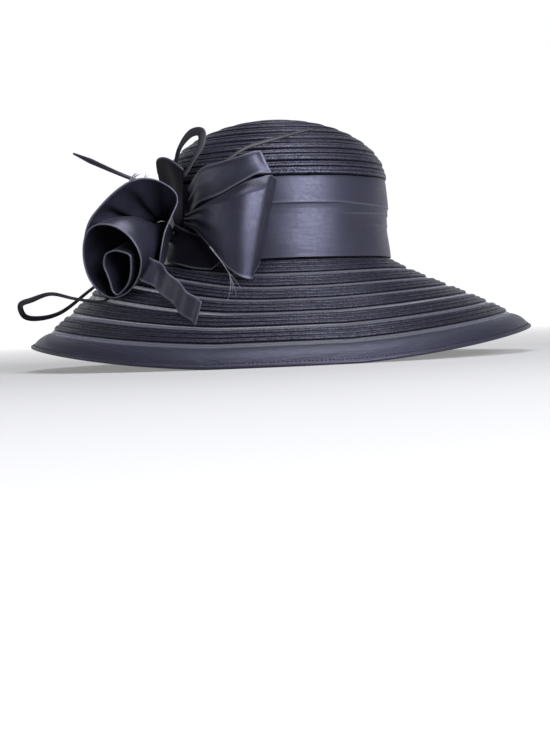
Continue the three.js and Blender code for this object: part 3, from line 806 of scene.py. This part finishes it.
def rolled(table, along_rim, outwards):
    """The grid of a rolled piece of the rose, from its pinched foot on the band to its open rim."""
    axis = unit(ROSE_AXIS)
    sideways = unit(np.array([-axis[1], axis[0], 0]))
    upwards = np.cross(axis, sideways)
    turn, radius, reach = np.array(table["rim"], float).T
    rim = np.stack([radius * np.cos(np.radians(turn)), radius * np.sin(np.radians(turn)), reach], 1)
    edge = curve(rim, np.linspace(0, 1, along_rim, endpoint=not table["closed"]), table["closed"])
    angle = np.arctan2(edge[:, 1], edge[:, 0])[:, None]
    j = np.linspace(0, 1, outwards)[None]
    opened = j ** table["flare"] if table["flare"] > 0 else ease(j)
    radius = lerp(table["foot_radius"], np.hypot(edge[:, 0], edge[:, 1])[:, None], opened)

    def swell(turn, stand, wide):
        away = (np.degrees(angle) - turn + 180) % 360 - 180
        return stand * bell(away / wide)

    for fold in table["folds"]:
        radius = radius - swell(*fold) * np.sin(math.pi * j**1.3) * (0.4 + 0.6 * j)
    if "bulge" in table:
        radius = radius + swell(*table["bulge"]) * ease(j / 0.6) * (1 - j**7)
    reach = lerp(-ROSE_STEM, edge[:, 2:3], j)
    if table["closed"]:
        radius = np.concatenate([radius[:, :1] * share for share in CAP_SHARES] + [radius], 1)
        reach = np.concatenate([reach[:, :1]] * len(CAP_SHARES) + [reach], 1)
    return (
        ROSE_CENTRE
        + sideways * (radius * np.cos(angle))[..., None]
        + upwards * (radius * np.sin(angle))[..., None]
        + axis * reach[..., None]
    )


def ribbon(rows, bow, along, across, gathers=0.0, roll=0.0):
    """The grid of a ribbon between its two edge lines, bowed outwards and gathered towards its first row.
    Roll is how far its high edge turns back."""
    rows = np.array(rows, float)
    i = np.linspace(0, 1, along)
    high = curve(band_points(rows[:, :3]), i)[:, None]
    low = curve(band_points(rows[:, 3:]), i)[:, None]
    j = np.linspace(0, 1, across)[None]
    grid = lerp(high, low, j[..., None])
    out = unit(grid * [1, 1, 0])
    i = i[:, None]
    lift = bow * np.sin(j * math.pi) * np.sin(i * math.pi)
    lift = lift + gathers * np.sin(j * math.pi) * np.sin(j * 5 * math.pi) * bell(i / GATHER_REACH)
    lift = lift - roll * np.clip(1 - j / ROLL_SHARE, 0, 1) ** 1.5 * np.sin(i * math.pi) ** 0.5
    return grid + out * lift[..., None]


def tab_grid(along, across):
    i = np.linspace(0, 1, along)
    rows = np.array(TAB, float)
    middle = curve(rows[:, :3], i)
    lean = np.interp(i, np.linspace(0, 1, len(rows)), rows[:, 3])[:, None]
    way = unit(np.gradient(middle, axis=0))
    side = unit(np.cross(way, [0, 0, 1.0]))
    width = unit(np.cross(side, way) + side * lean)
    ripple = TAB_RIPPLE * np.sin(i * TAB_RIPPLES * 2 * math.pi + 0.9)[:, None]
    middle = middle + side * ripple
    j = np.linspace(0.5, -0.5, across) * TAB_WIDTH
    return middle[:, None] + width[:, None] * j[None, :, None]


def quill_piece(name, rows, material):
    """A stripped shaft: a strip that is thickest along its middle."""
    rows = np.array(rows, float)
    j = np.linspace(0, 1, 12 * (len(rows) - 1) + 1)
    line = curve(rows[:, :3], j)
    width = np.interp(j, np.linspace(0, 1, len(rows)), rows[:, 3])[:, None]
    way = unit(np.gradient(line, axis=0))
    side = unit(np.cross(way, [0, -1.0, 0]))
    across = np.linspace(-0.5, 0.5, 7)
    grid = line[:, None] + side[:, None] * (across[None] * width)[..., None]
    thick = QUILL_THICKNESS * (0.3 + 0.7 * np.sqrt(np.clip(1 - (1.9 * across) ** 2, 0, 1)))
    return shell(name, grid, material, thickness=np.broadcast_to(thick, grid.shape[:2]), hem=0, hems=())


# Materials. Colours are linear. Lengths in the patterns are in millimetres, the weave is in radians a
# millimetre, and the noises are in marks a metre
WEAVE_ALONG = 11.0
WEAVE_ACROSS = 14.0
CREASES = 58.0
FIBRES = 420.0
MOTTLES = 520.0
PATCHES = 30.0
THREAD_GRAIN = 900.0
SATIN_SHEEN = {
    "sheen_weight": 0.02,
    "sheen_roughness": 0.4,
    "sheen_tint": (0.7, 0.72, 1, 1),
    "specular_tint": (0.72, 0.73, 1, 1),
}
# Rolled hems and fold edges are painted this lighter colour, a painted highlight
HEM_HIGHLIGHT_COLOUR = (0.055, 0.056, 0.07, 1)
PLAIT_SLANT = 2.4
NET_PITCH = 0.55
NET_THREAD = 0.12
NET_CORD_PITCH = 1.9
NET_CORD = 0.35
QUILL_DARK = (0.003, 0.003, 0.0045, 1)
QUILL_LIGHT = (0.012, 0.012, 0.016, 1)

# The floor glows a little, more so far off: the distances in metres and the glow there
FLOOR_NEAR = 0.3
FLOOR_FAR = 2.6
NEAR_GLOW = 0.22
FAR_GLOW = 1.0


class Nodes:
    """A short way to add nodes to a material or to the world."""

    def __init__(self, owner):
        owner.use_nodes = True
        self.tree = owner.node_tree

    def feed(self, socket, value):
        if isinstance(value, bpy.types.NodeSocket):
            self.tree.links.new(value, socket)
        else:
            socket.default_value = value

    def node(self, kind, inputs=None, **settings):
        made = self.tree.nodes.new("ShaderNode" + kind)
        for key, value in settings.items():
            setattr(made, key, value)
        for key, value in (inputs or {}).items():
            self.feed(made.inputs[key], value)
        return made

    def math(self, operation, a, b=0.0, c=0.0):
        return self.node("Math", {0: a, 1: b, 2: c}, operation=operation).outputs[0]

    def times(self, a, b, plus=0.0):
        return self.math("MULTIPLY_ADD", a, b, plus)

    def between(self, value, low, high, start, end, **settings):
        inputs = {"Value": value, "From Min": low, "From Max": high, "To Min": start, "To Max": end}
        return self.node("MapRange", inputs, **settings).outputs[0]


class Look(Nodes):
    """A material, with values for its shader's sockets."""

    def __init__(self, name, **sockets):
        self.material = bpy.data.materials.new(name)
        super().__init__(self.material)
        self.shader = next(n for n in self.tree.nodes if n.type == "BSDF_PRINCIPLED")
        for socket, value in sockets.items():
            self.set(socket.replace("_", " ").title().replace("Ior", "IOR"), value)

    def set(self, socket, value):
        self.feed(self.shader.inputs[socket], value)

    def place(self):
        return self.node("TexCoord").outputs["Object"]

    def cloth(self):
        """The two pattern coordinates of the surface."""
        parts = self.node("SeparateXYZ", {0: self.node("UVMap", uv_map="cloth").outputs[0]})
        return parts.outputs[0], parts.outputs[1]

    def noise_at(self, vector, scale, detail=3.0, roughness=0.5):
        inputs = {"Vector": vector, "Scale": scale, "Detail": detail, "Roughness": roughness}
        return self.node("TexNoise", inputs).outputs[0]

    def streaks(self, along, across, detail=3.0, roughness=0.5):
        """Noise that is stretched along the cloth: how many marks there are in a millimetre each way."""
        u, v = self.cloth()
        parts = {0: self.times(u, along), 1: self.times(v, across)}
        return self.noise_at(self.node("CombineXYZ", parts).outputs[0], 1.0, detail, roughness)

    def noise(self, scale, detail=3.0, roughness=0.5):
        return self.noise_at(self.place(), scale, detail, roughness)

    def mix(self, share, a, b):
        made = self.node("Mix", {0: share, 6: a, 7: b}, data_type="RGBA")
        return made.outputs[2]

    def bump(self, height, strength=1.0):
        """Relief from a height in millimetres."""
        made = self.node("Bump", {"Strength": strength, "Distance": MM, "Height": height})
        self.set("Normal", made.outputs[0])


def satin_look(name, dark, light, roughness, specular, streaks=None):
    """Black satin: a smooth face with a fine weave, soft creases, a cool sheen and a painted highlight along
    its rolled hems and fold edges.
    Streaks are creases that run along the cloth: how many there are in a millimetre each way."""
    look = Look(name, specular_ior_level=specular, **SATIN_SHEEN)
    u, v = look.cloth()
    weave = look.math("SINE", look.times(u, WEAVE_ALONG, plus=look.times(v, WEAVE_ACROSS)))
    creases = look.noise(CREASES)
    if streaks:
        pulled = look.streaks(*streaks, roughness=0.55)
        creases = look.times(creases, 0.4, plus=look.times(pulled, 1.5))
    fine = look.noise(FIBRES, 2.0)
    cloth = look.mix(look.between(creases, 0.3, 0.7, 0, 1), dark, light)
    # The hem attribute carries the painted highlight of rolled hems and fold edges
    hem = look.node("Attribute", attribute_name="hem").outputs["Fac"]
    look.set("Base Color", look.mix(look.times(hem, 0.8), cloth, HEM_HIGHLIGHT_COLOUR))
    look.set("Roughness", look.between(fine, 0.3, 0.7, roughness - 0.04, roughness + 0.05))
    height = look.times(creases, 0.45, plus=look.times(fine, 0.03))
    look.bump(look.times(weave, 0.006, plus=height), 0.7)
    return look.material


def braid_look(name, dark, light, roughness, specular):
    """Plaited satin tape: oblique strands that meet in a point along the middle of each tape, with a painted
    highlight along the crests of its rows and painted shade in its seams."""
    look = Look(name, **SATIN_SHEEN)
    u, v = look.cloth()
    across = look.math("FRACT", v)
    wing = look.math("ABSOLUTE", look.math("SUBTRACT", across, 0.5))
    turn = look.times(wing, PLAIT_SLANT, plus=u)
    plait = look.times(look.math("SINE", look.times(turn, 2 * math.pi)), 0.5, plus=0.5)
    rows = look.times(look.math("COSINE", look.times(v, 4 * math.pi)), -0.5, plus=0.5)
    mottle = look.between(look.noise(MOTTLES, 3.0, 0.6), 0.35, 0.65, 0.25, 1.0)
    patch = look.between(look.noise(PATCHES, 2.0), 0.3, 0.7, 0.75, 1.15)
    # Painted shade darkens the colour in the seams between tapes, where the relief also dips
    seam = look.math("SUBTRACT", 1.0, look.math("POWER", look.times(wing, 2.0), 6.0))
    # A painted highlight lightens the colour along the crests of the rows
    crest = look.times(rows, 0.75, plus=0.25)
    strand_light = look.times(plait, 0.55, plus=0.45)
    shine = look.times(crest, strand_light)
    shine = look.times(shine, look.times(mottle, patch))
    shine = look.times(shine, seam)
    look.set("Base Color", look.mix(shine, dark, light))
    look.set("Specular IOR Level", look.times(shine, specular, plus=0.04))
    look.set("Roughness", look.between(mottle, 0.25, 1.0, roughness + 0.12, roughness - 0.06))
    height = look.times(plait, 0.14, plus=look.times(mottle, 0.1))
    height = look.times(rows, 0.22, plus=height)
    look.bump(look.times(seam, 0.2, plus=height), 0.9)
    return look.material


def net_look(name):
    """Sheer organza: fine dark threads both ways with open cells between them."""
    look = Look(
        name,
        base_color=(0.03, 0.032, 0.045, 1),
        roughness=0.55,
        sheen_weight=0.3,
        sheen_tint=(0.8, 0.82, 1, 1),
    )
    u, v = look.cloth()

    def thread(value, pitch, width):
        place = look.math("FRACT", look.times(value, 1 / pitch))
        away = look.math("ABSOLUTE", look.math("SUBTRACT", place, 0.5))
        return look.math("LESS_THAN", away, width / pitch / 2)

    lines = look.math("MAXIMUM", thread(u, NET_PITCH, NET_THREAD), thread(v, NET_PITCH, NET_THREAD))
    cords = thread(v, NET_CORD_PITCH, NET_CORD)
    cover = look.times(lines, 0.3, plus=look.times(cords, 0.35, plus=0.25))
    look.set("Alpha", look.math("MINIMUM", cover, 1.0))
    look.material.surface_render_method = "DITHERED"
    return look.material


def quill_look(name):
    """A stripped, dyed shaft: smooth and a little glossy, with lengthwise streaks."""
    look = Look(name, specular_ior_level=0.2)
    streak = look.streaks(0.04, 2.2)
    look.set("Base Color", look.mix(look.between(streak, 0.35, 0.65, 0, 1), QUILL_DARK, QUILL_LIGHT))
    look.set("Roughness", look.between(streak, 0.3, 0.7, 0.34, 0.5))
    look.bump(look.times(streak, 0.1), 0.6)
    return look.material


def thread_look(name, colour, sheen=0.2):
    look = Look(name, roughness=0.45, sheen_weight=sheen)
    grain = look.noise(THREAD_GRAIN, 2.0)
    look.set("Base Color", look.mix(grain, [c * 0.6 for c in colour[:3]] + [1], colour))
    look.bump(look.times(grain, 0.05), 0.5)
    return look.material


def floor_look(name):
    look = Look(name, roughness=0.8, specular_ior_level=0.1, emission_color=(1, 1, 1, 1))
    grain = look.noise(3.0, 2.0)
    look.set("Base Color", look.mix(grain, (0.19, 0.19, 0.19, 1), (0.205, 0.205, 0.205, 1)))
    away = look.node("VectorMath", {0: look.place()}, operation="LENGTH").outputs["Value"]
    look.set("Emission Strength", look.between(away, FLOOR_NEAR, FLOOR_FAR, NEAR_GLOW, FAR_GLOW))
    return look.material


SATIN_LOOK = satin_look(
    "black satin",
    dark=(0.006, 0.006, 0.0095, 1),
    light=(0.0105, 0.0106, 0.017, 1),
    roughness=0.41,
    specular=0.36,
)
BAND_LOOK = satin_look(
    "band satin",
    dark=(0.005, 0.005, 0.008, 1),
    light=(0.0095, 0.0096, 0.0155, 1),
    roughness=0.44,
    specular=0.4,
    streaks=(0.012, 0.075),
)
# Satin's dull back, also painted darker: painted shade on the back petal and the lower loop
DULL_SHADED_LOOK = satin_look(
    "dull satin painted in shade",
    dark=(0.0014, 0.0014, 0.0024, 1),
    light=(0.0032, 0.0032, 0.0052, 1),
    roughness=0.6,
    specular=0.08,
)
BINDING_LOOK = satin_look(
    "binding satin",
    dark=(0.003, 0.003, 0.0055, 1),
    light=(0.0085, 0.0086, 0.0145, 1),
    roughness=0.46,
    specular=0.34,
    streaks=(0.09, 0.4),
)
# The crown's braid is the brim's braid painted lighter and made shinier, for the stronger light that falls on
# the crown
CROWN_PAINTED_LIGHTER_LOOK = braid_look(
    "crown braid painted lighter",
    dark=(0.002, 0.002, 0.0035, 1),
    light=(0.018, 0.0182, 0.03, 1),
    roughness=0.4,
    specular=1.12,
)
BRAID_LOOK = braid_look(
    "satin braid",
    dark=(0.002, 0.002, 0.0035, 1),
    light=(0.0125, 0.0127, 0.021, 1),
    roughness=0.4,
    specular=0.68,
)
NET_LOOK = net_look("sheer net")
QUILL_LOOK = quill_look("dyed quill")
THREAD_LOOK = thread_look("black thread", (0.02, 0.021, 0.03, 1))
DARK_THREAD_LOOK = thread_look("dark thread", (0.0015, 0.0015, 0.003, 1), sheen=0.0)
BARB_LOOK = thread_look("stripped barb", (0.085, 0.086, 0.1, 1))


def dress(piece, slot, *nodes):
    """The piece on the hat's body, with the nodes of the part that it stands for hidden. Its material slot is
    not used.
    """
    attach(piece, "root")
    if nodes:
        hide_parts(*nodes)
    return piece


# Crown, band and brim
dress(crown_piece(CROWN_PAINTED_LIGHTER_LOOK), "braid", "crown")
band = dress(band_piece(BAND_LOOK), "satin", "hat_band")

start = SEAM_GAP
seams = []
for row in range(1, BRAID_ROWS + 1):
    middle = FIRST_SHEER_AT + (row - 1) * ROW_PITCH
    net_start, net_end = middle - SHEER_SHARE / 2, middle + SHEER_SHARE / 2
    end = net_start - SEAM_GAP
    dress(braid_ring(f"brim_tape_{row}", start, end, BRAID_LOOK), "braid", f"brim_braid_{row}")
    net = dress(net_ring(f"brim_net_{row}", net_start, net_end, NET_LOOK), "sheer", f"brim_sheer_{row}")
    seams += [end - SEAM_STITCH_IN]
    start = net_end + SEAM_GAP
dress(binding_piece(start, BINDING_LOOK), "satin", "brim_edge")

# Stitches: share across the brim, height over the grooves, pitch, length, width
for n, share in enumerate(seams, 1):
    sewn = ring_stitches(f"seam_stitches_{n}", share, 0.35, 4.2, 1.7, 0.4, THREAD_LOOK)
    dress(sewn, "braid")
sewn = ring_stitches("edge_stitches", EDGE_STITCH_AT, 0.3, 2.9, 1.7, 0.9, DARK_THREAD_LOOK)
dress(sewn, "satin")
sewn = ring_stitches("binding_stitches", start + BINDING_STITCH_IN, 0.42, 3.4, 2.0, 0.5, THREAD_LOOK)
dress(sewn, "satin")


def cloth(name, node, grid, look, flat, area, held="gathered", rests_on="hat_band", **edges):
    """A piece of satin on the hat, in place of the part's node. Its flat size in metres, its area, and how
    the cloth is held and on what are not used.
    """
    piece = dress(shell(name, grid, look, **edges), "satin", node)


# Rose
grid = rolled(OUTER_PETAL, 150, 56)
hems = ("far", "start", "end")
cloth("rose_petal_satin", "rose_petal_outer", grid, SATIN_LOOK, (0.07, 0.227), 0.0072, hems=hems)
grid = rolled(MIDDLE_COIL, 150, 56)
cloth(
    "rose_coil_satin", "rose_coil_middle", grid, SATIN_LOOK, (0.085, 0.165), 0.0085,
    rests_on="rose_petal_outer", closed=True,
)
grid = rolled(INNER_COIL, 110, 50)
cloth(
    "rose_heart_satin", "rose_coil_inner", grid, SATIN_LOOK, (0.082, 0.0925), 0.0051,
    rests_on="rose_coil_middle", closed=True,
)

# Petal, bow and ribbons
grid = ribbon(BACK_PETAL, -4, 60, 36)
cloth("petal_back_satin", "petal_back", grid, DULL_SHADED_LOOK, (0.054, 0.051), 0.0019, hems=("near",))
grid = ribbon(BOW_RIBBON, 1.4, 90, 40, gathers=1.2, roll=1.2)
hems = ("near", "far", "end")
cloth("bow_ribbon_satin", "bow_ribbon_upper", grid, SATIN_LOOK, (0.0257, 0.0872), 0.0019, hems=hems)
grid = ribbon(BOW_LOOP, 2, 170, 90, gathers=1.6, roll=8.0)
cloth("bow_loop_satin", "bow_loop_main", grid, SATIN_LOOK, (0.08, 0.1254), 0.0051, hems=("near", "far"))
grid = ribbon(LOWER_LOOP, 0.5, 80, 40, gathers=1.8)
cloth("bow_under_satin", "bow_loop_lower", grid, DULL_SHADED_LOOK, (0.0314, 0.0773), 0.0018, hems=hems)
grid = tab_grid(90, 18)
cloth(
    "ribbon_end_satin", "ribbon_tab", grid, SATIN_LOOK, (0.017, 0.076), 0.00129,
    held="hung", rests_on="rose_coil_middle", hems=hems,
)

for node, rows in QUILLS.items():
    dress(quill_piece(f"{node}_shaft", rows, QUILL_LOOK), "quill", node)
dress(strands("quill_barbs", BARBS, BARB_LOOK), "quill")
dress(strands("feather_wisps", WISPS, QUILL_LOOK), "quill")

# Floor, light and camera, in metres
FLOOR_HALF = 14
HORIZON_LIGHT = 1.05
CEILING_LIGHT = 0.22
FRONT_SHARE = 0.24
SKY_COLOUR = (0.955, 0.962, 1, 1)
COOL = (0.93, 0.935, 1)
PALE = (0.95, 0.955, 1)
floor_corners = [(x * FLOOR_HALF, y * FLOOR_HALF, 0) for x, y in ((-1, -1), (1, -1), (1, 1), (-1, 1))]
floor_mesh = bpy.data.meshes.new("floor")
floor_mesh.from_pydata(floor_corners, [], [(0, 1, 2, 3)])
floor_mesh.materials.append(floor_look("floor"))
floor = add("floor", floor_mesh)

# The world is bright behind the hat and near the horizon, and darker in front and overhead
world = bpy.data.worlds.new("studio")
sky = Nodes(world)
direction = sky.node("SeparateXYZ", {0: sky.node("TexCoord").outputs["Generated"]})
depth, height = direction.outputs[1], direction.outputs[2]
smooth = {"interpolation_type": "SMOOTHSTEP"}
overhead = sky.between(height, 0.27, 0.6, HORIZON_LIGHT, CEILING_LIGHT, **smooth)
behind = sky.between(depth, 0.55, 0.96, FRONT_SHARE, 1, **smooth)
low_ring = sky.between(height, 0.045, 0.13, 1, 0, **smooth)
background = sky.tree.nodes["Background"]
sky.feed(background.inputs["Color"], SKY_COLOUR)
sky.feed(background.inputs["Strength"], sky.times(overhead, sky.math("MAXIMUM", behind, low_ring)))
bpy.context.scene.world = world


def softbox(name, place, aim, size, power, colour):
    """A soft lamp that lights the hat and isn't seen itself."""
    data = bpy.data.lights.new(name, "AREA")
    data.shape = "RECTANGLE"
    data.size, data.size_y = size
    data.energy = power
    data.color = colour
    lamp = add(name, data)
    lamp.location = place
    lamp.rotation_euler = (Vector(aim) - Vector(place)).to_track_quat("-Z", "Y").to_euler()
    lamp.visible_camera = False


softbox("key", (1.3, -1.9, 0.85), (0, 0, 0.1), (1.5, 1.2), 145, COOL)
softbox("fill", (-2.0, -1.25, 0.55), (-0.05, 0, 0.1), (0.9, 0.8), 6, COOL)
softbox("side", (-2.2, 0.15, 0.6), (-0.1, -0.05, 0.09), (0.8, 0.9), 8, COOL)
softbox("top", (0.2, -0.2, 2.1), (0, 0, 0.1), (1.8, 1.0), 62, PALE)

# The photo's own distance and lens, with the camera raised to just above the floor
CAMERA_PLACE = (-0.00572, -1.32567, 0.030)
CAMERA_WAY = (0, 0.9996584, -0.0261359)
CAMERA_UP = (0.0436194, 0.0261110, 0.9987070)
lens = bpy.data.cameras.new("camera")
lens.lens = 81.92
lens.sensor_width = 36
camera = add("camera", lens)
way, up = Vector(CAMERA_WAY), Vector(CAMERA_UP)
turned = Matrix((way.cross(up), up, -way)).transposed()
camera.matrix_world = Matrix.Translation(CAMERA_PLACE) @ turned.to_4x4()
bpy.context.scene.camera = camera
bpy.context.scene.view_settings.view_transform = "Standard"
bpy.context.scene.view_settings.look = "None"
